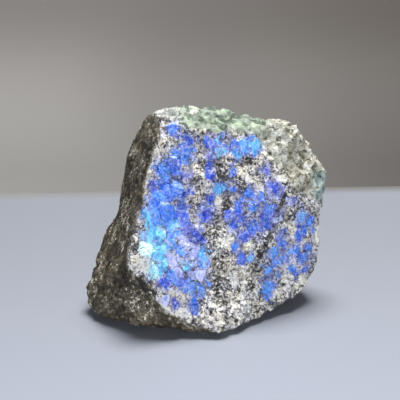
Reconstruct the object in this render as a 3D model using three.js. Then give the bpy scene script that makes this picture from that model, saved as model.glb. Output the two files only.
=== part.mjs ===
// A rough chunk of labradorite: a block of feldspar with one broad cleaved face, a rind of dark
// mica schist down its left side, and a flat broken underside that it rests on.
//
// Millimetres, +Z up. The broad face looks towards -Y, leaning back and a little to the right.
// The origin is under the middle of the stone's bounding box, on the plane that it rests on.
//
// The stone is one closed surface. Its field is negative inside the stone and positive outside:
// convex lumps and round knobs are joined, hollows are taken out, and noise roughens the result.
// Rays from a point inside find where the field is zero, and the rays' ends are the vertices.

import * as THREE from "three";
import { ConvexHull } from "three/addons/math/ConvexHull.js";
import { ImprovedNoise } from "three/addons/math/ImprovedNoise.js";
import { mergeVertices } from "three/addons/utils/BufferGeometryUtils.js";

// Driving dimensions, in millimetres.
const HEART = new THREE.Vector3(0, 2, 26); // the rays start here
const GIRTH = new THREE.Vector3(1.3, 0.95, 1.1); // spreads the rays evenly over the stone
const RAY_DETAIL = 20; // each face of the icosahedron is split into (RAY_DETAIL + 1) squared
const RAY_LENGTH = 80; // longer than any reach of the stone
const HALVINGS = 26; // steps of the search along each ray
const BLUNT_EDGE = 0.45; // how far the lumps' edges are rounded
const GROWN_JOIN = 1.5; // how softly one lump runs into the next
const MERGE_DISTANCE = 1e-3;

// Relief of the broken surface: wavelength and height of each layer of noise.
const RELIEF = [
  { wavelength: 19, height: 1.2 },
  { wavelength: 8, height: 0.9 },
  { wavelength: 4.2, height: 0.55 },
];

// Corners of the pieces of stone that are grown together, each a convex lump.
// The feldspar block, from its foot round the broad face, then over the top to the back.
const FELDSPAR_BLOCK = [
  [4, -23.5, -2], // front foot
  [-14.5, -26.5, 12], // lower lip of the broad face
  [-23.5, -22.5, 25], // left corner of the broad face
  [-20.5, -12, 40.5],
  [-13, 1.5, 63.5], // top left of the broad face
  [1, 5, 60.5],
  [18.5, 7, 58.5], // top right of the broad face
  [26, 2, 45],
  [39, 10, 32], // right corner of the broad face
  [39.8, 9.5, 17],
  [34.5, 1, 8], // lower right rim, just clear of the ground
  [16.5, -12, 6.3],
  [-19, 8, 66], // crest of the top
  [-11, 12, 68.3],
  [5.5, 15, 67],
  [14, 15, 63],
  [27, 18, 60],
  [35.5, 19, 56],
  [42, 17, 44], // right shoulder
  [-24.8, 12, 58.5], // left side
  [-28.4, 11, 44],
  [-30, 9, 33],
  [-17, 24, 59], // back
  [6, 28, 57],
  [26, 27, 53],
  [38, 24, 39],
  [-28, 24, 30],
  [4, 32, 28],
  [34, 26, 22],
  [37, 14, 7],
  [22, 6, -3], // underside, cut off by the ground
  [17, 22, -3],
  [-6, 25, -3],
  [-26, 18, -3],
  [-15, -15, -3],
];

// The lower part of the schist rind, which stands proud of the block as a blunt toe.
const SCHIST_TOE = [
  [-33, 7, 28],
  [-33.4, 5, 18],
  [-39.6, 2, 10],
  [-41.8, -3, 6],
  [-39.5, -7, 2],
  [-37, -12.5, 1],
  [-25.5, -18.5, 22.5], // front of the toe, tucked under the left corner of the broad face
  [-23, -19, 12],
  [-21, -21.5, 1.2],
  [-30, -11.5, -3],
  [-13, -16.5, -3],
  [0, -19, -3],
  [-6, -8, 24], // buried in the block
  [-22, -4, 36],
  [-24, 14, 34],
  [-34, 16, 20],
  [-36, 8, -2],
  [-26, 19, -2],
  [-10, 10, -2],
];

// The ledge in front of the foot.
const FRONT_LEDGE = [
  [3.5, -24.5, -2],
  [-8, -22.3, 1.2],
  [13, -18.5, 2.2],
  [12.5, -18.5, 5],
  [4, -26, 5],
  [-4, -24.5, 5],
  [6, -6, -2],
  [0, -6, 20],
  [0, 6, 30],
];

// Round knobs, each a rod with a blunt skin between two points.
const KNOBS = [
  { from: [-21, -20, 25.2], to: [-18.5, -18.5, 21], radius: 3.4 }, // white corner
  { from: [21, 14.5, 57], to: [26.5, 15, 56.5], radius: 5 }, // right end of the crest
];

// Hollows, each a rod of empty space that cuts into the surface.
const HOLLOWS = [
  { from: [27, -4, 35], to: [19, -10, 27], radius: 1.9 }, // long crack, upper run
  { from: [19, -10, 27], to: [14, -16, 15], radius: 2.6 }, // long crack, lower run
  { from: [5, -12.6, 33], to: [4, -20.5, 17], radius: 2.1 }, // seam beside the flashing crystals
  { from: [5.5, -6.6, 45.5], to: [5.5, -7.5, 43], radius: 2.1 }, // pit
];

// The outward planes of the convex lump with these corners.
function planesOf(corners) {
  const hull = new ConvexHull();
  hull.setFromPoints(corners.map((corner) => new THREE.Vector3(...corner)));
  return hull.faces.map((face) => new THREE.Plane(face.normal.clone(), -face.constant));
}

// The largest of the values, rounded off where several are close.
function softMaximum(values, softness) {
  const largest = Math.max(...values);
  const sum = values.reduce((total, value) => total + Math.exp((value - largest) / softness), 0);
  return largest + softness * Math.log(sum);
}

function softMinimum(values, softness) {
  return -softMaximum(values.map((value) => -value), softness);
}

// The distance from a point to the skin of a rod.
function rodDistance(point, { from, to, radius }) {
  const line = new THREE.Line3(new THREE.Vector3(...from), new THREE.Vector3(...to));
  const nearest = line.closestPointToPoint(point, true, new THREE.Vector3());
  return nearest.distanceTo(point) - radius;
}

const LUMPS = [FELDSPAR_BLOCK, SCHIST_TOE, FRONT_LEDGE].map(planesOf);
const noise = new ImprovedNoise();

// How far the broken surface stands proud of the smooth one at a point.
function reliefAt(point) {
  return RELIEF.reduce((total, { wavelength, height }) => {
    const { x, y, z } = point.clone().divideScalar(wavelength);
    return total + height * noise.noise(x, y, z);
  }, 0);
}

// Negative inside the stone, positive outside it, and near its surface about a distance.
function fieldAt(point) {
  const lumps = LUMPS.map((planes) =>
    softMaximum(planes.map((plane) => plane.distanceToPoint(point)), BLUNT_EDGE),
  );
  const knobs = KNOBS.map((knob) => rodDistance(point, knob));
  const hollows = HOLLOWS.map((hollow) => -rodDistance(point, hollow));
  const solid = softMinimum([...lumps, ...knobs], GROWN_JOIN);
  return softMaximum([solid, ...hollows], BLUNT_EDGE) - reliefAt(point);
}

// Where a ray from the heart leaves the stone. The ground cuts the stone off at z = 0.
function surfacePoint(direction) {
  const ray = new THREE.Ray(HEART, direction);
  const point = new THREE.Vector3();
  let inside = 0;
  const toGround = direction.z < 0 ? -HEART.z / direction.z : Infinity;
  let outside = Math.min(toGround, RAY_LENGTH);
  if (fieldAt(ray.at(outside, point)) < 0) {
    return point.setZ(0);
  }
  for (let step = 0; step < HALVINGS; step += 1) {
    const middle = (inside + outside) / 2;
    if (fieldAt(ray.at(middle, point)) < 0) {
      inside = middle;
    } else {
      outside = middle;
    }
  }
  return point;
}

// The whole stone in one piece, standing on z = 0 with the origin under the middle of its box.
function stoneGeometry() {
  const sphere = new THREE.IcosahedronGeometry(1, RAY_DETAIL);
  sphere.deleteAttribute("normal");
  sphere.deleteAttribute("uv");
  const geometry = mergeVertices(sphere, MERGE_DISTANCE);
  const position = geometry.getAttribute("position");
  const direction = new THREE.Vector3();
  for (let i = 0; i < position.count; i += 1) {
    direction.fromBufferAttribute(position, i).multiply(GIRTH).normalize();
    position.setXYZ(i, ...surfacePoint(direction));
  }
  geometry.computeBoundingBox();
  const middle = geometry.boundingBox.getCenter(new THREE.Vector3());
  geometry.translate(-middle.x, -middle.y, 0);
  geometry.computeVertexNormals();
  return geometry;
}

const feldspar = new THREE.MeshStandardMaterial({
  color: 0x75777a,
  roughness: 0.7,
  metalness: 0,
});

const stone = new THREE.Mesh(stoneGeometry(), feldspar);
stone.name = "labradorite_chunk";

const specimen = new THREE.Group();
specimen.add(stone);

export default specimen;
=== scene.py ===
"""A rough chunk of labradorite on a pale floor.

The stone is one broken piece of rock. Its broad front face is a mosaic of cleaved feldspar grains,
many of which flash blue, in a salt-and-pepper matrix. A rind of dark mica schist runs down the left
side and ends in a blunt toe, and a dull grey-green crust covers the top. The patterns on the stone
are laid out in millimetres, with x to the right and z up, as the stone stands.
"""

import math

import bpy
from bpy.props import FloatProperty, FloatVectorProperty, IntProperty, PointerProperty
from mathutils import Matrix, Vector


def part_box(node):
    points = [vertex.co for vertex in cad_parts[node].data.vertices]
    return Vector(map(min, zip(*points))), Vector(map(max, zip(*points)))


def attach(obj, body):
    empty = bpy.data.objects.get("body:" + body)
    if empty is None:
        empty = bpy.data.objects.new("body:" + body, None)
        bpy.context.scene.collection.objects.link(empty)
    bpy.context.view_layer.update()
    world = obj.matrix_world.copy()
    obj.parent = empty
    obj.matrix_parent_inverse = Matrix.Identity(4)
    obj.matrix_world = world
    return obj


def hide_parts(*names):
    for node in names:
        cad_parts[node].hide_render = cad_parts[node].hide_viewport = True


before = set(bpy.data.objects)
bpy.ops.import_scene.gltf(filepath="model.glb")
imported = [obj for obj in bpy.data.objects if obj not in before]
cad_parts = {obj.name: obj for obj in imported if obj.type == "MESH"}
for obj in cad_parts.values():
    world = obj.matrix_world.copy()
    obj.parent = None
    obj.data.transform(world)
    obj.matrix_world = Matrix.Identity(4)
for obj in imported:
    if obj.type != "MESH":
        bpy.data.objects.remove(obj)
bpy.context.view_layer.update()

bl_info = {
    "name": "Labradorite chunk",
    "version": (1, 0, 0),
    "blender": (4, 5, 0),
    "location": "View3D > Sidebar > Stone",
    "description": "Builds a rough chunk of labradorite and a plain stage for it",
    "category": "Add Mesh",
}

CAD_NODE = "labradorite_chunk"
MM = 0.001

# The broad face, and how many millimetres out from the stone's origin it begins and is whole.
FACE_DIRECTION = (0.384, -0.827, 0.411)  # outwards from the face
FACE_STARTS = 8.0
FACE_WHOLE = 14.0

# The lie of the crystals and of the schist's layers.
CRYSTAL_LEAN = math.radians(20)  # their tops lean to the left
CRYSTAL_SQUEEZE = (1.0, 1.0, 0.68)
LAYER_LEAN = math.radians(-23)  # the layers' tops lean to the right
LAYER_SQUEEZE = (1, 0.5, 0.12)
LEAST_LOOSE = 1.5  # raggedness of the crystals on the left

# The broken surface, in millimetres.
LUMP = 7.0  # width of the large facets
DEEPEST = -1.1  # lowest that it goes below the smooth surface
PROUDEST = 0.55  # highest that it stands above it

# The stone's foot is drawn in between these heights, in metres.
FOOT_TOP = 2.2 * MM
FOOT_BOTTOM = 0.2 * MM
FOOT_SCALE = 0.9  # at the ground

SAME_PLACE = 0.01 * MM  # corners closer than this are merged
BUMP_DEPTH = 0.3 * MM
NO_PATCH = -9.0  # strength far from all patches

# The stage, in metres.
FLOOR_EDGE = 0.15  # how far behind the stone's origin the floor ends
FLOOR_TURN = math.radians(-4)
FLOOR_SLOPE = 0.07  # how far the floor's edge runs back for each metre to the right
FLOOR_SIZE = 3
WALL_SIZE = (4, 3)
WALL_DISTANCE = 0.9
AIM = Vector((-2.63, -2.28, 38.4)) * MM  # what the camera looks at

# The front edge of the schist rind: height, and how far to the right it reaches there.
RIND_EDGE = [(0, 5), (3, -1), (6, -8), (10, -13.7), (15, -18), (18.5, -21), (21, -25), (27, -25.5),
             (33, -23.8), (40, -21), (50, -19.4), (57, -17.2), (61, -15.4), (65, -17), (70, -20)]
# The lower edge of the crust: distance to the right, and how far down it reaches there.
CRUST_EDGE = [(-40, 66), (-15, 65), (-10, 64.2), (-5, 62.2), (2.5, 60.6), (12, 60.2), (16, 59),
              (20, 53), (25, 47), (29, 41.5), (35, 37), (40, 33), (42, 30)]

# Where the feldspar flashes on the front: x, z, half width, half height, tilt, hue. The flash is a
# painted
# sheen: labradorescence, which shows only at some angles of light and view, is painted into the base
# colour. The tilt is in degrees, anticlockwise. Hue 0 is pale aqua, 0.45 azure, 0.8 indigo and 1
# lavender.
FLASHES = [
    (-11.8, 61.9, 3.0, 1.5, 0, 0.5),  # streak under the crust
    (-6.5, 59.2, 3.4, 1.3, -25, 0.62),
    (-0.2, 57.2, 2.0, 2.6, 0, 0.58),
    (3.6, 58.6, 2.3, 1.9, 0, 0.36),
    (4.2, 54.6, 2.6, 1.8, 0, 0.32),
    (-8.0, 54.3, 3.4, 2.8, 15, 0.48),  # left column, from its head downwards
    (-11.6, 50.8, 2.4, 3.6, 30, 0.55),
    (-14.8, 50.4, 2.8, 3.0, 0, 0.45),
    (-8.6, 48.2, 3.4, 2.2, 0, 0.8),
    (-13.8, 46.4, 2.6, 2.6, 0, 0.55),
    (-17.8, 44.5, 1.8, 2.8, 0, 0.66),
    (-11.6, 43.6, 4.4, 3.2, 0, 0.5),
    (-6.8, 43.6, 2.0, 2.0, 0, 0.6),
    (-16.4, 41.4, 3.4, 2.6, 0, 0.48),
    (-14.6, 37.0, 6.0, 4.2, 0, 0.47),
    (-8.2, 37.0, 2.4, 3.0, 0, 0.6),
    (-19.2, 36.2, 1.8, 2.8, 0, 0.26),
    (-17.0, 32.0, 3.8, 3.4, 0, 0.19),
    (-11.8, 31.6, 2.6, 4.2, 0, 0.38),
    (-18.6, 28.2, 2.6, 2.2, 0, 0.06),
    (-15.2, 27.4, 2.4, 3.2, 0, 0.16),
    (-17.8, 22.4, 2.4, 3.2, 0, 0.03),
    (-14.4, 22.8, 2.2, 2.6, 0, 0.24),
    (-9.0, 26.8, 1.6, 2.8, 35, 0.45),
    (-11.0, 23.4, 1.6, 3.2, 25, 1.0),
    (-8.0, 29.4, 2.6, 1.6, -30, 1.0),
    (-4.2, 26.4, 2.4, 2.2, 0, 1.0),
    (-6.2, 32.2, 2.2, 2.2, 0, 0.8),
    (-3.4, 30.0, 2.0, 3.2, 25, 0.74),
    (-1.6, 24.4, 2.2, 3.2, 0, 0.3),
    (-7.3, 21.4, 2.0, 2.2, 0, 0.24),
    (-11.6, 19.6, 2.8, 3.2, 0, 0.42),
    (-6.8, 24.6, 1.8, 1.7, 0, 0.95),
    (-9.6, 20.4, 1.3, 2.0, 25, 0.95),
    (-12.6, 16.6, 1.4, 1.4, 0, 0.94),
    (-4.0, 22.4, 1.5, 1.6, 0, 0.92),
    (-13.2, 25.2, 1.2, 2.0, 25, 0.94),
    (-8.6, 17.0, 2.2, 2.0, 0, 0.62),
    (-13.8, 18.0, 2.0, 1.8, 0, 0.72),
    (-3.2, 19.4, 3.0, 2.0, 0, 0.98),
    (-5.4, 16.2, 2.6, 2.6, 0, 0.42),
    (-1.4, 15.2, 1.6, 2.0, 0, 0.5),
    (-4.4, 11.2, 1.8, 2.8, 0, 0.52),
    (-10.2, 11.4, 1.5, 1.4, 0, 0.72),
    (-14.0, 12.6, 1.6, 1.2, 0, 0.85),
    (0.9, 50.0, 1.2, 4.2, 0, 0.72),  # middle
    (7.8, 48.4, 1.1, 2.6, 0, 0.62),
    (4.4, 43.6, 3.0, 2.4, 0, 0.42),
    (1.0, 40.4, 1.9, 2.0, 0, 0.7),
    (-0.4, 36.4, 2.8, 2.8, 0, 0.72),
    (8.4, 43.2, 2.2, 1.6, 0, 0.62),
    (9.6, 37.0, 1.8, 3.2, 0, 0.72),
    (8.4, 32.8, 2.4, 1.6, 0, 0.78),
    (11.8, 33.8, 2.2, 2.4, 0, 0.76),
    (11.4, 39.6, 1.6, 2.0, 0, 0.66),
    (17.2, 40.0, 1.8, 1.4, 0, 0.68),
    (23.6, 34.0, 1.8, 2.0, 0, 0.8),
    (6.6, 35.4, 1.4, 1.6, 0, 0.74),
    (11.4, 28.6, 2.0, 1.6, 0, 0.74),
    (11.0, 22.2, 1.2, 1.4, 0, 0.66),
    (9.2, 25.8, 1.6, 1.9, 0, 0.54),
    (13.7, 21.2, 1.5, 1.3, 0, 0.4),
    (8.2, 57.0, 1.2, 1.6, 0, 0.62),  # cluster below the crust
    (12.2, 56.2, 2.4, 2.2, 0, 0.52),
    (9.8, 53.8, 2.2, 1.9, 0, 0.44),
    (16.0, 56.4, 2.2, 1.6, 0, 0.42),
    (15.4, 53.6, 1.8, 1.3, 0, 0.45),
    (18.6, 48.0, 2.2, 1.7, 0, 0.78),  # right of the middle
    (21.8, 42.4, 1.7, 3.8, 38, 0.78),
    (13.8, 42.0, 1.3, 1.8, 0, 0.62),
    (14.8, 37.4, 2.4, 3.2, 0, 0.56),
    (19.6, 36.2, 2.8, 3.4, 0, 0.6),
    (19.6, 31.8, 3.2, 2.8, 0, 0.7),
    (15.2, 30.6, 3.2, 2.4, 0, 0.68),
    (29.2, 37.0, 1.5, 1.8, 40, 0.88),
    (32.3, 31.4, 1.9, 3.0, 0, 0.42),
    (32.9, 26.6, 1.5, 1.8, 0, 0.66),
    (36.4, 25.0, 1.2, 2.0, 0, 0.62),
    (25.0, 24.4, 2.2, 3.2, 0, 0.6),
    (22.0, 21.6, 2.0, 2.0, 0, 0.5),
    (25.2, 18.6, 2.8, 2.2, 0, 0.54),
    (20.2, 16.4, 1.8, 2.4, 0, 0.52),
    (23.4, 14.0, 1.3, 1.4, 0, 0.62),
    (19.8, 10.6, 2.0, 2.8, 0, 0.5),
    (35.0, 20.2, 1.6, 1.6, 0, 0.6),
    (32.4, 17.4, 3.2, 1.9, 0, 0.62),
    (32.4, 13.0, 2.8, 1.6, 0, 0.66),
    (28.4, 20.8, 1.8, 1.6, 0, 0.58),
    (35.4, 28.6, 1.4, 1.8, 0, 0.6),
    (30.2, 25.0, 1.4, 1.8, 0, 0.72),
    (28.6, 14.6, 1.3, 1.5, 0, 0.6),
]
# Light and dark parts of the rock: x, z, half width, half height, tilt, tone. Tone 1 is palest.
# The pit, the dark hollows, the long crack and the seam are painted shade in the rock's recesses.
TONES = [
    # Painted shade: the pit and, below, the dark hollows are darkened as shade in a recess.
    (5.0, 46.8, 2.2, 2.4, 0, 0.0),  # pit
    (3.2, 49.6, 1.8, 2.6, 0, 0.12),
    (-14.2, 64.4, 1.8, 1.0, 0, 0.0),  # dark hollows
    (12.5, 51.2, 5.0, 1.4, -4, 0.1),
    (6.0, 38.0, 1.6, 3.2, 0, 0.15),
    # Painted shade along the long crack.
    (24.4, 36.6, 1.3, 5.6, -25, 0.0),  # long crack, upper run
    (29.0, 31.4, 2.0, 1.6, 0, 0.15),
    (18.8, 25.0, 1.3, 6.0, -25, 0.0),  # long crack, lower run
    (14.8, 17.0, 2.0, 4.6, -25, 0.25),
    # Painted shade along the seam's groove.
    (2.4, 31.0, 2.4, 8.0, 0, 0.36),  # seam beside the left column
    (4.2, 15.4, 3.6, 5.0, 0, 0.32),
    (13.2, 46.4, 5.0, 1.1, -40, 0.93),  # cream veins and grains
    (18.6, 41.4, 2.4, 0.9, -32, 0.8),
    (12.0, 43.8, 4.6, 1.4, -34, 0.1),
    (21.0, 55.6, 3.0, 2.6, 0, 0.94),
    (3.4, 40.2, 1.4, 1.5, 0, 1.0),
    (6.8, 27.8, 1.9, 2.6, 0, 1.0),
    (13.6, 25.6, 1.7, 1.7, 0, 0.9),
    (-0.8, 46.0, 1.8, 5.6, 0, 0.62),
    (9.0, 16.2, 4.0, 2.0, -45, 0.85),
    (12.4, 8.4, 5.2, 2.8, 25, 0.66),
    (26.6, 12.6, 3.0, 2.6, 0, 0.9),
    (24.0, 8.6, 4.6, 1.4, 25, 0.86),
    (32.6, 9.2, 3.4, 1.6, 45, 0.95),
    (37.2, 24.0, 1.4, 5.0, 0, 0.92),
    (30.6, 26.0, 4.0, 7.0, 0, 0.86),
    (27.6, 17.0, 5.0, 4.8, 0, 0.86),
    (31.0, 43.0, 2.0, 1.4, 0, 0.95),
    (24.6, 45.4, 2.2, 1.6, 0, 0.86),
    (-4.8, 66.6, 1.9, 1.0, 0, 1.0),
    (-21.0, 23.8, 3.6, 3.0, 0, 0.98),  # white corner
    (-16.0, 56.0, 1.5, 5.4, -18, 0.74),  # pale edge of the face beside the rind
    (-19.6, 46.4, 1.4, 4.0, -13, 0.8),
    (-22.2, 36.0, 1.3, 3.6, -10, 0.86),
    (-22.0, 31.0, 1.6, 2.4, 0, 0.8),
    (-12.0, 14.8, 4.4, 1.5, -14, 0.88),
    (-13.6, 10.2, 2.6, 1.4, -40, 0.92),
    (-8.6, 8.2, 3.6, 1.8, -22, 0.9),
    (-7.4, 12.8, 1.6, 2.2, 0, 0.82),
    (0.4, 8.0, 4.4, 2.6, 0, 0.7),
    (-21.0, 52.5, 2.0, 9.0, -20, 0.0),  # smooth dark band of the rind
    (-20.9, 60.5, 1.2, 3.6, -24, 0.86),
    (-26.6, 45.0, 1.6, 7.0, -20, 0.66),
    (-31.0, 32.0, 3.0, 5.6, -25, 0.62),
    # Painted shadow on the toe, darkest under the white corner; its left end is painted lighter as
    # painted light where it faces the lamps.
    (-24.0, 15.5, 6.4, 3.8, -20, 0.0),  # toe, darkest under the white corner
    (-36.5, 12.0, 3.0, 6.4, -20, 0.7),
    (-20.0, 5.0, 7.0, 2.6, -8, 0.62),
]

def paint(red, green, blue):
    """A screen colour, 0 to 255 a channel, as the linear colour that nodes take."""
    return tuple((c / 255 / 12.92) if c <= 10 else ((c / 255 + 0.055) / 1.055) ** 2.4
                 for c in (red, green, blue))


def length(name, description, default):
    return FloatProperty(name=name, description=description, default=default, unit="LENGTH",
                         precision=5)


def colour(name, description, red, green, blue):
    return FloatVectorProperty(name=name, description=description, default=paint(red, green, blue),
                               subtype="COLOR", min=0, max=1)


class StoneSizes(bpy.types.PropertyGroup):
    """Sizes of the stone's surface, from the mesh to the grains."""

    voxel: length("Voxel", "Edge of the cells that the stone is remeshed with", 0.475 * MM)
    crystal: length("Crystal", "Width of a feldspar crystal", 3.1 * MM)
    chip: length("Chip", "Width of the small chips on all broken surfaces", 1.4 * MM)
    speckle: length("Speckle", "Width of a grain in the salt-and-pepper matrix", 0.65 * MM)
    soften: IntProperty(name="Soften", default=14, min=0,
                        description="Rounds of smoothing before the surface is broken")


class StoneColours(bpy.types.PropertyGroup):
    """Colours of the stone's minerals."""

    # Painted sheen: the flash colours, aqua to lavender, stand for the labradorescence.
    aqua: colour("Aqua", "Palest flash", 205, 245, 238)
    cyan: colour("Cyan", "Flash between aqua and azure", 105, 205, 255)
    azure: colour("Azure", "Brightest flash", 68, 136, 240)
    ultramarine: colour("Ultramarine", "Deep flash", 48, 84, 210)
    indigo: colour("Indigo", "Darkest flash", 60, 66, 176)
    lavender: colour("Lavender", "Milky flash", 184, 190, 244)
    # Cloudy feldspar within a flash, also standing as painted glints.
    milk_and_glint: colour("Milk", "Cloudy parts of a flash", 192, 212, 250)
    thread: colour("Thread", "Fine pale lines through a flash", 206, 218, 250)
    crack: colour("Crack", "Fine dark lines through a flash", 60, 62, 110)
    feldspar: colour("Feldspar", "White grains of the matrix", 236, 233, 228)
    pale_grey: colour("Pale grey", "Light grains of the matrix", 200, 197, 192)
    mid_grey: colour("Middle grey", "Grey grains of the matrix", 150, 147, 144)
    dark_grey: colour("Dark grey", "Dark grains of the matrix", 92, 88, 84)
    pyroxene: colour("Pyroxene", "Black grains of the matrix", 34, 32, 34)
    cream: colour("Cream", "Cream veins", 230, 227, 211)
    cool: colour("Cool tint", "Laid over the cooler parts of the matrix", 242, 246, 255)
    warm: colour("Warm tint", "Laid over the warmer parts of the matrix", 252, 251, 243)
    lilac: colour("Lilac tint", "Laid over the matrix near a flash", 178, 185, 255)
    haze: colour("Haze", "Cloudy grains of the matrix near a flash", 122, 130, 166)
    schist: colour("Schist", "Dark rind", 66, 59, 46)
    # The rind's darkest colour: its darkest grains, and painted shade where the tone is darkened,
    # deepest under the white corner.
    rind_black_and_shade: colour("Soot", "Hollows of the rind", 24, 21, 18)
    flake: colour("Flake", "Dull flakes in the rind", 112, 104, 87)
    # Painted glint: the pale colour of the rind's glinting mica flakes.
    mica: colour("Mica", "Glinting flakes in the rind", 220, 215, 202)
    crust: colour("Crust", "Weathered top", 118, 131, 117)
    pale_green: colour("Pale green", "Palest part of the crust", 160, 178, 153)
    left_grey: colour("Left grey", "Left end of the crust", 168, 170, 166)
    umber: colour("Umber", "Darkest grains of the right shoulder", 88, 84, 68)
    tan: colour("Tan", "Weathered right shoulder", 156, 153, 136)
    ash: colour("Ash", "Pale grains of the right shoulder", 184, 187, 177)
    bone: colour("Bone", "Palest grains of the right shoulder", 224, 224, 214)
    teal: colour("Teal", "Right corner of the crust", 140, 160, 158)
    pit: colour("Pit", "Pits of the crust", 58, 58, 50)
    frost: colour("Frost", "Bright flecks on the crust", 222, 224, 212)


class StageSettings(bpy.types.PropertyGroup):
    """Floor, backdrop and camera."""

    # Painted light and shade on the floor: darker far away, and its far edge darker on the right.
    floor: colour("Floor", "Pale floor", 157, 163, 180)
    floor_far: colour("Far floor", "Floor towards its far edge", 118, 123, 132)
    edge_left: colour("Left edge", "Far edge of the floor, on the left", 114, 113, 112)
    edge_right: colour("Right edge", "Far edge of the floor, on the right", 90, 88, 86)
    # Painted light and shade on the wall: bright low on the left, darker high up and to the right.
    wall_high_left: colour("Wall, high left", "Wall, high on the left", 146, 141, 138)
    wall_high_right: colour("Wall, high right", "Wall, high on the right", 109, 103, 97)
    wall_low_left: colour("Wall, low left", "Wall, low on the left", 250, 247, 242)
    wall_low_right: colour("Wall, low right", "Wall, low on the right", 168, 163, 159)
    lens: FloatProperty(name="Lens", description="Focal length", default=90, unit="CAMERA")
    distance: length("Distance", "From the camera to the stone", 333 * MM)
    elevation: FloatProperty(name="Elevation", description="Height angle of the camera",
                             default=math.radians(16), subtype="ANGLE")


def is_socket(value):
    return isinstance(value, bpy.types.NodeSocket)


class Nodes:
    """Lays nodes in one tree. An input that is a socket is linked, any other is a plain value."""

    def __init__(self, tree):
        self.tree = tree

    def add(self, kind, inputs=None, **settings):
        node = self.tree.nodes.new(kind)
        for name, value in settings.items():
            setattr(node, name, value)
        for name, value in (inputs or {}).items():
            if is_socket(value):
                self.tree.links.new(value, node.inputs[name])
            else:
                node.inputs[name].default_value = value
        return node

    def math(self, operation, *values):
        return self.add("ShaderNodeMath", dict(enumerate(values)), operation=operation).outputs[0]

    def total(self, first, *others):
        for other in others:
            first = self.math("ADD", first, other)
        return first

    def line(self, value, slope, start):
        """The value times the slope, plus the start."""
        return self.math("MULTIPLY_ADD", value, slope, start)

    def swing(self, value, amount):
        """The amount times how far the value is above a half."""
        return self.line(value, amount, -amount / 2)

    def step(self, value, low, high, first=0.0, last=1.0):
        """Goes smoothly from first to last while the value goes from low to high."""
        inputs = {"Value": value, "From Min": low, "From Max": high, "To Min": first, "To Max": last}
        node = self.add("ShaderNodeMapRange", inputs, interpolation_type="SMOOTHSTEP")
        return node.outputs[0]

    def mix(self, factor, first, second):
        """The first number where the factor is 0, and the second where it is 1."""
        return self.add("ShaderNodeMix", {0: factor, 2: first, 3: second},
                        data_type="FLOAT").outputs[0]

    def profile(self, value, points):
        """A smooth curve through (value, result) points."""
        low = points[0][0]
        high = points[-1][0]
        least = min(result for _, result in points)
        span = max(result for _, result in points) - least
        along = self.add("ShaderNodeMapRange", {"Value": value, "From Min": low, "From Max": high})
        node = self.add("ShaderNodeFloatCurve", {"Value": along.outputs[0]})
        curve = node.mapping.curves[0]
        first, *between, last = [((at - low) / (high - low), (result - least) / span)
                                 for at, result in points]
        curve.points[0].location = first
        curve.points[1].location = last
        for place in between:
            curve.points.new(*place)
        node.mapping.update()
        return self.line(node.outputs[0], span, least)

    def vector(self, operation, first, second):
        node = self.add("ShaderNodeVectorMath", {0: first, 1: second}, operation=operation)
        return node.outputs["Value" if operation == "DOT_PRODUCT" else "Vector"]

    def size_of(self, vector):
        return self.add("ShaderNodeVectorMath", {0: vector}, operation="LENGTH").outputs["Value"]

    def scaled(self, vector, factor):
        node = self.add("ShaderNodeVectorMath", {0: vector, "Scale": factor}, operation="SCALE")
        return node.outputs[0]

    def turned(self, vector, angle):
        """The vector turned about the front-to-back axis."""
        node = self.add("ShaderNodeVectorRotate", {"Vector": vector, "Angle": angle},
                        rotation_type="Y_AXIS")
        return node.outputs[0]

    def split(self, vector):
        return self.add("ShaderNodeSeparateXYZ", {0: vector}).outputs

    def noise_node(self, place, size, detail, roughness):
        inputs = {"Vector": place, "Scale": 1 / size, "Detail": detail, "Roughness": roughness}
        return self.add("ShaderNodeTexNoise", inputs)

    def noise(self, place, size, detail=2.0, roughness=0.55):
        return self.noise_node(place, size, detail, roughness).outputs["Fac"]

    def wavy(self, place, size, detail, reach):
        """The place moved about smoothly, by up to half the reach each way."""
        noise = self.noise_node(place, size, detail, 0.55).outputs["Color"]
        bend = self.scaled(self.vector("SUBTRACT", noise, (0.5, 0.5, 0.5)), reach)
        return self.vector("ADD", place, bend)

    def cells(self, place, size, feature="F1"):
        inputs = {"Vector": place, "Scale": 1 / size}
        return self.add("ShaderNodeTexVoronoi", inputs, feature=feature).outputs

    def lots(self, place, size):
        """A random number for each cell."""
        return self.split(self.cells(place, size)["Color"])[0]

    def filaments(self, place, size, width):
        """Thin wandering lines, 1 on the line and 0 away from it."""
        level = self.noise(place, size, detail=3, roughness=0.6)
        away = self.math("ABSOLUTE", self.math("SUBTRACT", level, 0.5))
        return self.step(away, width, 0.0)

    def blend(self, factor, first, second, mode="MIX"):
        """The first colour where the factor is 0, and the second where it is 1."""
        first_shade, second_shade = [shade if is_socket(shade) else (*shade, 1)
                                     for shade in (first, second)]
        return self.add("ShaderNodeMix", {0: factor, 6: first_shade, 7: second_shade},
                        data_type="RGBA", blend_type=mode).outputs[2]

    def tinted(self, first, second):
        """One colour laid over another as a tint."""
        return self.blend(1.0, first, second, mode="MULTIPLY")

    def grey(self, value):
        return self.add("ShaderNodeCombineColor", {0: value, 1: value, 2: value}).outputs[0]

    def palette(self, value, stops):
        """A colour ramp with (place, colour) stops."""
        node = self.add("ShaderNodeValToRGB", {"Fac": value})
        ramp = node.color_ramp
        for place, _ in stops[2:]:
            ramp.elements.new(place)
        for element, (place, shade) in zip(ramp.elements, stops):
            element.position = place
            element.color = (*shade, 1)
        return node.outputs[0]

    def group(self, tree, inputs):
        """Places a shader node group and returns its outputs in order."""
        return list(self.add("ShaderNodeGroup", inputs, node_tree=tree).outputs)


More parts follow.
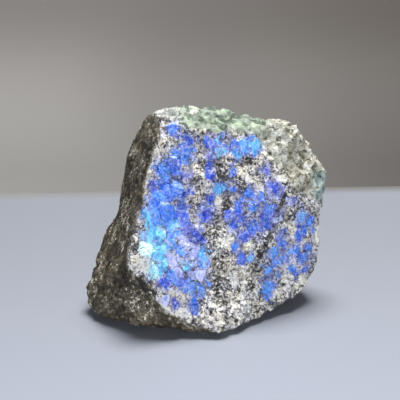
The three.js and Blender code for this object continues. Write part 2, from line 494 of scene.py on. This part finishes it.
def new_group(name, tree_type, inputs, outputs):
    """An empty node group with named sockets, with the Nodes that fill it, its start and its end."""
    tree = bpy.data.node_groups.new(name, tree_type)
    for direction, sockets in (("INPUT", inputs), ("OUTPUT", outputs)):
        for label, kind in sockets.items():
            tree.interface.new_socket(label, in_out=direction, socket_type="NodeSocket" + kind)
    nodes = Nodes(tree)
    return nodes, nodes.add("NodeGroupInput").outputs, nodes.add("NodeGroupOutput")


def deliver(nodes, end, results):
    """Links the results to the group's outputs by name."""
    for label, socket in results.items():
        nodes.tree.links.new(socket, end.inputs[label])


def crystal_space(nodes, place, crystal):
    """The place bent, turned and squeezed, so that cells laid in it waver, lean and are tall."""
    bent = nodes.wavy(place, crystal * 0.55, detail=1, reach=crystal * 0.4)
    return nodes.vector("MULTIPLY", nodes.turned(bent, CRYSTAL_LEAN), CRYSTAL_SQUEEZE)


def layer_space(nodes, place):
    """The place squeezed along the schist's wavy layers, which run down and to the left."""
    bent = nodes.wavy(place, 10, detail=2, reach=3.2)
    return nodes.vector("MULTIPLY", nodes.turned(bent, LAYER_LEAN), LAYER_SQUEEZE)


# ---------------------------------------------------------------- the stone's shape


def zones(nodes, place):
    """Where the rind, the crust and the broad face are, each 0 outside and 1 inside."""
    x, _, z = nodes.split(place)
    jitter = nodes.math("SUBTRACT", nodes.noise(place, 3.2, detail=3), 0.5)
    past_rind = nodes.math("SUBTRACT", x, nodes.profile(z, RIND_EDGE))
    into_crust = nodes.math("SUBTRACT", z, nodes.profile(x, CRUST_EDGE))
    outwards = nodes.vector("DOT_PRODUCT", place, FACE_DIRECTION)
    return {"schist": nodes.step(nodes.line(jitter, 3.0, past_rind), 0.5, -0.5),
            "crust": nodes.step(nodes.line(jitter, 6.0, into_crust), -0.7, 0.9),
            "front": nodes.step(outwards, FACE_STARTS, FACE_WHOLE)}


def tilted_facets(nodes, space, size, steepness):
    """Height of a surface that breaks along one flat facet in each cell."""
    cell = nodes.cells(space, size)
    slope = nodes.vector("SUBTRACT", cell["Color"], (0.5, 0.5, 0.5))
    reach = nodes.vector("SUBTRACT", space, cell["Position"])
    return nodes.math("MULTIPLY", nodes.vector("DOT_PRODUCT", slope, reach), steepness)


def broken_height(nodes, place, schist, sizes):
    """How far the broken surface stands above the smooth one, in millimetres."""
    crystal = sizes.crystal / MM
    space = crystal_space(nodes, place, crystal)
    cleaved = tilted_facets(nodes, space, crystal, 0.8)
    chipped = tilted_facets(nodes, place, sizes.chip / MM, 0.3)
    lumps = tilted_facets(nodes, space, LUMP, 0.22)
    rough = nodes.swing(nodes.noise(place, 1.5, detail=2), 0.6)
    feldspar = nodes.total(nodes.math("ADD", cleaved, chipped), nodes.math("ADD", lumps, rough))

    # The rind is ridged along its layers, and granular towards its foot.
    layers = nodes.noise(layer_space(nodes, place), 1.3, detail=4, roughness=0.65)
    ridges = nodes.line(nodes.math("ABSOLUTE", nodes.math("SUBTRACT", layers, 0.5)), -6.5, 0.5)
    grains = nodes.line(nodes.cells(place, 1.9)["Distance"], -1.5, 0.7)
    foot = nodes.step(nodes.split(place)[2], 24, 12)
    flaky = nodes.mix(foot, ridges, grains)
    rind = nodes.math("ADD", flaky, nodes.line(chipped, 0.5, lumps))

    height = nodes.mix(schist, feldspar, rind)
    return nodes.math("MINIMUM", nodes.math("MAXIMUM", height, DEEPEST), PROUDEST)


def relief_tree(sizes):
    """Geometry nodes that store where the zones are, and break up the smooth surface."""
    nodes, start, end = new_group("Broken surface", "GeometryNodeTree", {"Geometry": "Geometry"},
                                  {"Geometry": "Geometry"})
    place = nodes.scaled(nodes.add("GeometryNodeInputPosition").outputs[0], 1 / MM)
    found = zones(nodes, place)
    geometry = start["Geometry"]
    for name, value in {"place_mm": place, **found}.items():
        kind = "FLOAT_VECTOR" if name == "place_mm" else "FLOAT"
        geometry = nodes.add("GeometryNodeStoreNamedAttribute",
                             {"Geometry": geometry, "Name": name, "Value": value},
                             data_type=kind, domain="POINT").outputs[0]

    normal = nodes.add("GeometryNodeInputNormal").outputs[0]
    height = broken_height(nodes, place, found["schist"], sizes)
    offset = nodes.scaled(normal, nodes.math("MULTIPLY", height, MM))
    broken = nodes.add("GeometryNodeSetPosition", {"Geometry": geometry, "Offset": offset})

    # The foot is drawn in a little, and nothing goes below the ground.
    x, y, z = nodes.split(nodes.add("GeometryNodeInputPosition").outputs[0])
    drawn_in = nodes.step(z, FOOT_TOP, FOOT_BOTTOM, 1.0, FOOT_SCALE)
    grounded = nodes.add("ShaderNodeCombineXYZ", {0: nodes.math("MULTIPLY", x, drawn_in),
                                                  1: nodes.math("MULTIPLY", y, drawn_in),
                                                  2: nodes.math("MAXIMUM", z, 0.0)})
    flat = nodes.add("GeometryNodeSetPosition",
                     {"Geometry": broken.outputs[0], "Position": grounded.outputs[0]})
    deliver(nodes, end, {"Geometry": flat.outputs[0]})
    return nodes.tree


def apply_modifier(piece, name, kind, **settings):
    modifier = piece.modifiers.new(name, kind)
    for setting, value in settings.items():
        setattr(modifier, setting, value)
    bpy.ops.object.modifier_apply(modifier=modifier.name)


def stone_mesh(sizes):
    """The stone: the CAD solid, remeshed fine, laid out flat for its finish, and broken up."""
    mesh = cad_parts[CAD_NODE].data.copy()
    mesh.materials.clear()
    stone = bpy.data.objects.new("labradorite_stone", mesh)
    bpy.context.scene.collection.objects.link(stone)
    bpy.ops.object.select_all(action="DESELECT")
    stone.select_set(True)
    bpy.context.view_layer.objects.active = stone

    bpy.ops.object.mode_set(mode="EDIT")
    bpy.ops.mesh.select_all(action="SELECT")
    bpy.ops.mesh.remove_doubles(threshold=SAME_PLACE)
    bpy.ops.object.mode_set(mode="OBJECT")
    apply_modifier(stone, "Remesh", "REMESH", mode="VOXEL", voxel_size=sizes.voxel)
    apply_modifier(stone, "Soften", "SMOOTH", factor=0.5, iterations=sizes.soften)

    bpy.ops.object.mode_set(mode="EDIT")
    bpy.ops.mesh.select_all(action="SELECT")
    bpy.ops.uv.smart_project(angle_limit=math.radians(66), island_margin=0.003)
    bpy.ops.object.mode_set(mode="OBJECT")
    stone.data.uv_layers.active.name = "OFBake"
    apply_modifier(stone, "Break", "NODES", node_group=relief_tree(sizes))
    bpy.ops.object.shade_smooth_by_angle(angle=math.radians(40))
    return stone


# ---------------------------------------------------------------- the stone's finish


def patch_group():
    """One listed patch. It passes on the stronger of itself and the patches before it."""
    nodes, given, end = new_group(
        "Patch", "ShaderNodeTree",
        {"Place": "Vector", "Middle": "Vector", "Reach": "Vector", "Tilt": "Float", "Value": "Float",
         "Best strength": "Float", "Best value": "Float"},
        {"Best strength": "Float", "Best value": "Float"})
    away = nodes.turned(nodes.vector("SUBTRACT", given["Place"], given["Middle"]), given["Tilt"])
    out = nodes.size_of(nodes.vector("MULTIPLY", away, given["Reach"]))
    strength = nodes.math("SUBTRACT", 1.0, out)
    better = nodes.math("GREATER_THAN", strength, given["Best strength"])
    deliver(nodes, end, {
        "Best strength": nodes.math("MAXIMUM", strength, given["Best strength"]),
        "Best value": nodes.mix(better, given["Best value"], given["Value"])})
    return nodes.tree


def field_group(name, patches, patch):
    """How strong the strongest of the patches is at a place, and its value there."""
    nodes, given, end = new_group(name, "ShaderNodeTree", {"Place": "Vector"},
                                  {"Strength": "Float", "Value": "Float"})
    best = NO_PATCH
    value = 0.5
    for x, z, half_width, half_height, tilt, patch_value in patches:
        inputs = {"Place": given["Place"], "Middle": (x, 0, z),
                  "Reach": (1 / half_width, 0, 1 / half_height), "Tilt": math.radians(tilt),
                  "Value": patch_value, "Best strength": best, "Best value": value}
        best, value = nodes.group(patch, inputs)
    deliver(nodes, end, {"Strength": best, "Value": value})
    return nodes.tree


def flash_group(colours, crystal, flashes):
    """The flashing crystals: a mask of where they are, the painted colour of their sheen, and how
    near a flash is.
    """
    nodes, given, end = new_group(
        "Flashing crystals", "ShaderNodeTree", {"Place": "Vector", "Front": "Float"},
        {"Mask": "Float", "Colour": "Color", "Near": "Float"})
    place = given["Place"]
    front = given["Front"]
    space = crystal_space(nodes, place, crystal)
    cell = nodes.cells(space, crystal)
    rim = nodes.cells(space, crystal, "DISTANCE_TO_EDGE")["Distance"]
    chance, hue_lot, glow = nodes.split(cell["Color"])

    # Each crystal takes its strength and hue from between its heart and the place. Behind the
    # broad face there are no patches, and only a few stray crystals flash.
    heart = nodes.turned(nodes.vector("DIVIDE", cell["Position"], CRYSTAL_SQUEEZE), -CRYSTAL_LEAN)
    spot = nodes.vector("ADD", nodes.scaled(heart, 0.4), nodes.scaled(place, 0.6))
    strength, hue = nodes.group(flashes, {"Place": spot})
    strength = nodes.mix(front, -1.0, strength)
    stray = nodes.mix(front, nodes.noise(heart, 9, detail=1), 0.0)
    strength = nodes.math("MAXIMUM", strength, nodes.line(stray, 6.0, -4.1))
    massive = nodes.step(strength, 0.15, 0.6)

    # Ragged noise and flecks eat into the patches, most of all towards the right.
    loose = nodes.step(nodes.split(place)[0], -3, 6, LEAST_LOOSE, 2.5)
    hold = nodes.step(strength, 0.1, 0.6, 1.0, 0.45)
    tatter = nodes.math("SUBTRACT", nodes.noise(place, 1.3, detail=3, roughness=0.65), 0.5)
    ragged = nodes.math("MULTIPLY", tatter, loose)
    luck = nodes.line(chance, 0.5, -0.15)
    flecks = nodes.step(nodes.noise(place, 0.95, detail=3, roughness=0.65), 0.52, 0.64)
    frayed = nodes.math("MULTIPLY", nodes.line(loose, -1.0, 1.1), hold)
    kept = nodes.math("ADD", strength, nodes.line(ragged, hold, luck))
    kept = nodes.line(flecks, frayed, kept)
    seam = nodes.line(massive, -0.16, nodes.line(nodes.noise(place, 3.5), 0.45, -0.17))
    inside = nodes.step(nodes.math("SUBTRACT", rim, seam), -0.03, 0.03)
    mask = nodes.math("MULTIPLY", nodes.step(kept, -0.12, 0.1), inside)

    # The hue drifts slowly and jumps from crystal to crystal. Towards the right it is also
    # brighter in the middle of a patch.
    drift = nodes.line(nodes.noise(place, 2.2), 0.24, -0.1)
    jump = nodes.math("MULTIPLY", nodes.math("SUBTRACT", hue_lot, 0.5),
                      nodes.line(massive, -0.12, 0.24))
    centre = nodes.math("MULTIPLY", nodes.math("SUBTRACT", loose, LEAST_LOOSE),
                        nodes.step(strength, -0.2, 0.7, 0.07, -0.15))
    hue = nodes.math("ADD", hue, nodes.math("ADD", drift, nodes.math("ADD", jump, centre)))
    flash = nodes.palette(hue, [(0.0, colours.aqua), (0.2, colours.cyan), (0.45, colours.azure),
                                (0.64, colours.ultramarine), (0.8, colours.indigo),
                                (0.98, colours.lavender)])

    # Each crystal's painted sheen is painted lighter or darker as a whole, as a tilted facet catches
    # the light, and along fine upright lamellae. Cloudy feldspar with painted glints, pale threads
    # and dark cracks lie over it.
    upright = nodes.vector("MULTIPLY", place, (1, 1, 0.3))
    lamellae = nodes.noise(upright, 0.8, detail=3, roughness=0.7)
    light = nodes.math("MULTIPLY", nodes.step(glow, 0, 1, 0.8, 1.12),
                       nodes.step(lamellae, 0.32, 0.68, 0.62, 1.25))
    shaded = nodes.tinted(flash, nodes.grey(light))
    # Cloudy patches on the flash, which also serve as painted glints.
    cloud_and_glint = nodes.line(hue_lot, 0.1, nodes.noise(place, 1.0, detail=4, roughness=0.75))
    cloud_and_glint = nodes.math("ADD", cloud_and_glint, nodes.line(loose, 0.01, -0.02))
    milk_and_glint_amount = nodes.step(nodes.line(massive, -0.05, cloud_and_glint), 0.52, 0.76, 0.0, 0.85)
    clouded_and_glinting = nodes.blend(milk_and_glint_amount, shaded, colours.milk_and_glint)
    threads = nodes.filaments(nodes.vector("ADD", place, (9, 4, 27)), 2.0, 0.03)
    threaded = nodes.blend(nodes.math("MULTIPLY", threads, 0.4), clouded_and_glinting, colours.thread)
    cracks = nodes.math("MULTIPLY", nodes.filaments(place, 2.6, 0.018), 0.4)
    deliver(nodes, end, {"Mask": mask, "Colour": nodes.blend(cracks, threaded, colours.crack),
                         "Near": nodes.step(strength, -1.0, 0.4)})
    return nodes.tree


def matrix_group(colours, speckle):
    """The salt-and-pepper matrix, lilac near a flash and cream where it is lightest."""
    nodes, given, end = new_group("Salt and pepper", "ShaderNodeTree",
                                  {"Place": "Vector", "Tone": "Float", "Near": "Float"},
                                  {"Colour": "Color"})
    place = given["Place"]
    tone = given["Tone"]
    broad = nodes.noise(place, 6, detail=2)
    fleck = nodes.noise(place, speckle * 1.6, detail=4, roughness=0.7)
    salt = nodes.math("ADD", nodes.swing(fleck, 2.2), nodes.swing(nodes.lots(place, speckle), 0.6))
    pieces = nodes.line(nodes.lots(place, 2.3), 0.34, 0.3)
    threads = nodes.math("MULTIPLY", nodes.filaments(place, 1.6, 0.045),
                         nodes.step(broad, 0.4, 0.6, 0.65, 0.25))
    elsewhere = nodes.vector("ADD", place, (31, 17, 5))
    cracks = nodes.math("MULTIPLY", nodes.filaments(elsewhere, 3.2, 0.035), -0.5)
    level = nodes.total(pieces, nodes.math("ADD", threads, cracks), salt,
                        nodes.math("ADD", nodes.swing(tone, 0.75), nodes.swing(broad, 0.5)))
    mixed = nodes.palette(level, [(0.02, colours.pyroxene), (0.24, colours.dark_grey),
                                  (0.46, colours.mid_grey), (0.68, colours.pale_grey),
                                  (0.95, colours.feldspar)])

    creamy = nodes.blend(nodes.step(tone, 0.78, 1.0, 0.0, 0.5), mixed, colours.cream)
    warmth = nodes.step(nodes.noise(place, 3.6, detail=2), 0.38, 0.62)
    creamy = nodes.tinted(creamy, nodes.blend(warmth, colours.cool, colours.warm))
    near = nodes.math("MULTIPLY", given["Near"], nodes.step(tone, 0.96, 0.8, 0.2, 1.0))
    lilac = nodes.blend(nodes.math("MULTIPLY", near, 0.6), creamy,
                        nodes.tinted(creamy, colours.lilac))
    haze = nodes.math("MULTIPLY", near, nodes.step(broad, 0.4, 0.6, 0.05, 0.36))
    deliver(nodes, end, {"Colour": nodes.blend(haze, lilac, colours.haze)})
    return nodes.tree


def tone_group(tones):
    """Tone of the rock, 0 dark to 1 pale, with ragged edges to the patches. Some patches are painted
    shade and painted light.
    """
    nodes, given, end = new_group("Tone", "ShaderNodeTree", {"Place": "Vector", "Front": "Float"},
                                  {"Tone": "Float"})
    strength, tone = nodes.group(tones, {"Place": given["Place"]})
    noise = nodes.noise(given["Place"], 1.5, detail=3, roughness=0.7)
    ragged = nodes.math("ADD", strength, nodes.swing(noise, 1.8))
    held = nodes.math("MULTIPLY", nodes.step(ragged, -0.3, 0.45), given["Front"])
    deliver(nodes, end, {"Tone": nodes.mix(held, 0.5, tone)})
    return nodes.tree


def schist_group(colours):
    """Dark mica schist, with glinting flakes drawn out along its layers. Their glints are painted in
    pale colour.
    """
    nodes, given, end = new_group("Schist", "ShaderNodeTree", {"Place": "Vector", "Tone": "Float"},
                                  {"Colour": "Color", "Glint": "Float"})
    place = given["Place"]
    foot = nodes.step(nodes.split(place)[2], 30, 14)
    layers = layer_space(nodes, place)
    streaks = nodes.noise(layers, 0.45, detail=3, roughness=0.65)
    granular = nodes.noise(place, 1.3, detail=5, roughness=0.75)
    grain = nodes.math("SUBTRACT", nodes.mix(foot, streaks, granular), 0.5)
    grain = nodes.line(grain, nodes.mix(foot, 1.4, 1.8), 0.37)
    broad = nodes.noise(place, 5, detail=3)
    glinting_strands = nodes.mix(foot, nodes.filaments(layers, 0.7, 0.035),
                        nodes.filaments(place, 2.8, 0.025))
    glinting_strands = nodes.math("MULTIPLY", glinting_strands, nodes.step(broad, 0.42, 0.6, 0.04, 0.5))
    shade = nodes.math("ADD", nodes.swing(broad, 0.6), nodes.swing(given["Tone"], 0.4))
    level = nodes.total(grain, glinting_strands, shade)
    # Painted glints: the pale streaks and the highest grains run up to the mica colour.
    base = nodes.palette(level, [(0.1, colours.rind_black_and_shade), (0.36, colours.schist), (0.6, colours.flake),
                                 (0.88, colours.mica)])
    deliver(nodes, end, {"Colour": base, "Glint": nodes.step(level, 0.6, 0.85)})
    return nodes.tree


def crust_group(colours):
    """The weathered top: grey at its left end, grey-green, then tan grains on the right."""
    nodes, given, end = new_group("Weathered crust", "ShaderNodeTree",
                                  {"Place": "Vector", "Tone": "Float"}, {"Colour": "Color"})
    place = given["Place"]
    x, _, z = nodes.split(place)
    pale = nodes.step(nodes.noise(place, 5, detail=3), 0.46, 0.66)
    green = nodes.blend(pale, colours.crust, colours.pale_green)
    left_end = nodes.step(nodes.line(nodes.noise(place, 3), 10, x), -2, -9)
    green = nodes.blend(left_end, green, colours.left_grey)

    patches = nodes.noise(place, 3.2, detail=3, roughness=0.65)
    tan = nodes.palette(patches, [(0.36, colours.umber), (0.46, colours.tan), (0.57, colours.ash),
                                  (0.68, colours.bone)])
    corner = nodes.math("MULTIPLY", nodes.step(x, 34.5, 37.5), nodes.step(patches, 0.62, 0.48))
    corner = nodes.math("MULTIPLY", corner, nodes.step(z, 46, 43))
    shoulder = nodes.blend(corner, tan, colours.teal)
    reach = nodes.math("ADD", x, nodes.step(z, 56, 64, 0, -6))
    right = nodes.step(nodes.line(nodes.noise(place, 5), 10, reach), 15, 25)
    body = nodes.blend(right, green, shoulder)

    fleck = nodes.noise(place, 1.5, detail=5, roughness=0.75)
    grain = nodes.line(nodes.math("SUBTRACT", fleck, 0.5), nodes.mix(right, 1.05, 1.45), 0.5)
    level = nodes.math("ADD", grain, nodes.swing(given["Tone"], 0.36))
    pitted = nodes.blend(nodes.step(level, 0.5, 0.28), body, colours.pit)
    frosted = nodes.blend(nodes.step(level, 0.56, 0.8, 0, 0.85), pitted, colours.frost)
    deliver(nodes, end, {"Colour": frosted})
    return nodes.tree


def stone_material(sizes, colours):
    material = bpy.data.materials.new("Labradorite rock")
    material.use_nodes = True
    material.node_tree.nodes.clear()
    nodes = Nodes(material.node_tree)
    place = nodes.add("ShaderNodeAttribute", attribute_name="place_mm").outputs["Vector"]
    in_schist, in_crust, front = [nodes.add("ShaderNodeAttribute", attribute_name=name).outputs["Fac"]
                                  for name in ("schist", "crust", "front")]
    patch = patch_group()
    tones = tone_group(field_group("Tone field", TONES, patch))
    flashes = flash_group(colours, sizes.crystal / MM, field_group("Flash field", FLASHES, patch))
    salt_and_pepper = matrix_group(colours, sizes.speckle / MM)
    tone, = nodes.group(tones, {"Place": place, "Front": front})
    flash, flash_colour, near = nodes.group(flashes, {"Place": place, "Front": front})
    matrix, = nodes.group(salt_and_pepper, {"Place": place, "Tone": tone, "Near": near})
    schist, glint = nodes.group(schist_group(colours), {"Place": place, "Tone": tone})
    crust, = nodes.group(crust_group(colours), {"Place": place, "Tone": tone})

    # Nothing flashes where the tone is darkest, in the painted shade of the hollows, nor in the
    # palest grains.
    clear = nodes.math("MULTIPLY", nodes.step(tone, 0.97, 0.86), nodes.step(tone, 0.04, 0.16))
    flash = nodes.math("MULTIPLY", flash, clear)
    bare = nodes.blend(flash, matrix, flash_colour)
    whole = nodes.blend(in_schist, nodes.blend(in_crust, bare, crust), schist)

    shiny = nodes.math("MULTIPLY", flash, nodes.math("SUBTRACT", 1.0, in_crust))
    feldspar_roughness = nodes.mix(shiny, 0.62, 0.3)
    roughness = nodes.mix(in_schist, feldspar_roughness, nodes.line(glint, -0.3, 0.6))
    fine = nodes.noise(place, 0.5, detail=4, roughness=0.7)
    bump = nodes.add("ShaderNodeBump", {"Height": fine, "Strength": 0.5, "Distance": BUMP_DEPTH})
    shader = nodes.add("ShaderNodeBsdfPrincipled", {"Base Color": whole, "Roughness": roughness,
                                                    "Normal": bump.outputs[0]})
    nodes.add("ShaderNodeOutputMaterial", {"Surface": shader.outputs[0]})
    return material


class LABRADORITE_OT_stone(bpy.types.Operator):
    """Builds the stone around its CAD solid and gives it its finish"""

    bl_idname = "labradorite.stone"
    bl_label = "Stone"

    def execute(self, context):
        scene = context.scene
        stone = stone_mesh(scene.stone_sizes)
        stone.data.materials.append(stone_material(scene.stone_sizes, scene.stone_colours))
        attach(stone, "root")
        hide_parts(CAD_NODE)
        return {"FINISHED"}


# ---------------------------------------------------------------- the stage


def stage_material(name, roughness):
    """A plain material, the Nodes that fill it, and where on its piece a point is, in metres."""
    material = bpy.data.materials.new(name)
    material.use_nodes = True
    nodes = Nodes(material.node_tree)
    nodes.tree.nodes["Principled BSDF"].inputs["Roughness"].default_value = roughness
    return material, nodes, nodes.split(nodes.add("ShaderNodeTexCoord").outputs["Object"])


def set_base_colour(nodes, shade):
    nodes.tree.links.new(shade, nodes.tree.nodes["Principled BSDF"].inputs["Base Color"])


def floor_material(settings):
    """The floor, with painted light and shade: painted darker far away, and its far edge painted
    darker on the right, so that it melts into the wall behind it.
    """
    material, nodes, (x, y, _) = stage_material("Floor", 0.6)
    # Painted shade: the floor darkens towards its far edge, and that edge darkens to the right.
    surface = nodes.blend(nodes.step(y, -0.3, 0.13), settings.floor, settings.floor_far)
    edge = nodes.blend(nodes.step(x, -0.1, 0.1), settings.edge_left, settings.edge_right)
    towards_edge = nodes.line(x, -FLOOR_SLOPE, y)
    melt = nodes.step(towards_edge, FLOOR_EDGE - 0.014, FLOOR_EDGE + 0.001)
    set_base_colour(nodes, nodes.blend(melt, surface, edge))
    return material


def wall_material(settings):
    """The wall, with painted light and shade: lighter low on the left and darker high on the right.
    """
    material, nodes, (x, _, z) = stage_material("Backdrop", 0.9)
    across = nodes.step(x, -0.34, 0.34)
    upwards = nodes.step(z, -0.24, 0.04)
    low = nodes.blend(across, settings.wall_low_left, settings.wall_low_right)
    high = nodes.blend(across, settings.wall_high_left, settings.wall_high_right)
    set_base_colour(nodes, nodes.blend(upwards, low, high))
    return material


def add_plane(name, size, material, location, rotation=(0, 0, 0)):
    """A flat sheet with its place in its mesh."""
    bpy.ops.mesh.primitive_plane_add(size=1, location=location, rotation=rotation)
    plane = bpy.context.active_object
    plane.name = name
    plane.scale = (*size, 1)
    bpy.ops.object.transform_apply(location=True, rotation=True, scale=True)
    plane.data.materials.append(material)
    return plane


def add_lamp(name, location, target, size, energy, shade):
    light = bpy.data.lights.new(name, "AREA")
    light.shape = "DISK"
    light.size = size
    light.energy = energy
    light.color = shade
    lamp = bpy.data.objects.new(name, light)
    lamp.location = location
    lamp.visible_camera = False
    lamp.rotation_euler = (target - Vector(location)).to_track_quat("-Z", "Y").to_euler()
    bpy.context.scene.collection.objects.link(lamp)


def add_world_light(scene):
    """A weak light from all round."""
    world = bpy.data.worlds.new("Studio")
    world.use_nodes = True
    background = world.node_tree.nodes["Background"]
    background.inputs["Color"].default_value = (0.9, 0.94, 1, 1)
    background.inputs["Strength"].default_value = 0.1
    scene.world = world


def add_camera(scene, settings):
    lens = bpy.data.cameras.new("camera")
    lens.lens = settings.lens
    lens.sensor_width = 36
    lens.clip_start = 0.01
    lens.clip_end = 20
    tilt = settings.elevation
    camera = bpy.data.objects.new("camera", lens)
    camera.location = AIM + Vector((0, -math.cos(tilt), math.sin(tilt))) * settings.distance
    camera.rotation_euler = (math.radians(90) - tilt, 0, 0)
    scene.collection.objects.link(camera)
    scene.camera = camera


class LABRADORITE_OT_stage(bpy.types.Operator):
    """Adds the floor, the backdrop, soft studio light and the camera"""

    bl_idname = "labradorite.stage"
    bl_label = "Stage"

    def execute(self, context):
        scene = context.scene
        settings = scene.stone_stage
        bpy.ops.object.select_all(action="DESELECT")
        floor = add_plane("floor", (FLOOR_SIZE, FLOOR_SIZE), floor_material(settings),
                          (0, FLOOR_EDGE - FLOOR_SIZE / 2, 0))
        # With no window this operator turns the other way, so the far edge runs back to the right.
        bpy.ops.transform.rotate(value=FLOOR_TURN, orient_axis="Z",
                                 center_override=(0, FLOOR_EDGE, 0))
        bpy.ops.object.transform_apply(location=True, rotation=True, scale=True)
        backdrop = add_plane("backdrop", WALL_SIZE, wall_material(settings),
                             (0, WALL_DISTANCE, 0), rotation=(math.radians(90), 0, 0))

        low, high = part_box(CAD_NODE)
        middle = Vector((low.x + high.x, low.y + high.y, high.z)) / 2
        add_lamp("key", (0.06, 0.22, 0.8), middle, size=0.42, energy=14.2, shade=(1, 0.99, 0.97))
        add_lamp("fill", (0.08, -1.9, 0.3), middle, size=0.4, energy=27.6, shade=(0.97, 0.98, 1))
        add_world_light(scene)
        add_camera(scene, settings)
        scene.view_settings.view_transform = "Standard"
        return {"FINISHED"}


class LABRADORITE_PT_panel(bpy.types.Panel):
    """Lists the stone's steps"""

    bl_label = "Labradorite"
    bl_idname = "LABRADORITE_PT_panel"
    bl_space_type = "VIEW_3D"
    bl_region_type = "UI"
    bl_category = "Stone"

    def draw(self, context):
        for operator in (LABRADORITE_OT_stone, LABRADORITE_OT_stage):
            self.layout.operator(operator.bl_idname)


CLASSES = (StoneSizes, StoneColours, StageSettings, LABRADORITE_OT_stone, LABRADORITE_OT_stage,
           LABRADORITE_PT_panel)


def register():
    for item in CLASSES:
        bpy.utils.register_class(item)
    bpy.types.Scene.stone_sizes = PointerProperty(type=StoneSizes)
    bpy.types.Scene.stone_colours = PointerProperty(type=StoneColours)
    bpy.types.Scene.stone_stage = PointerProperty(type=StageSettings)


def unregister():
    del bpy.types.Scene.stone_stage
    del bpy.types.Scene.stone_colours
    del bpy.types.Scene.stone_sizes
    for item in reversed(CLASSES):
        bpy.utils.unregister_class(item)


def main():
    register()
    bpy.ops.labradorite.stone()
    bpy.ops.labradorite.stage()


if __name__ == "__main__":
    main()
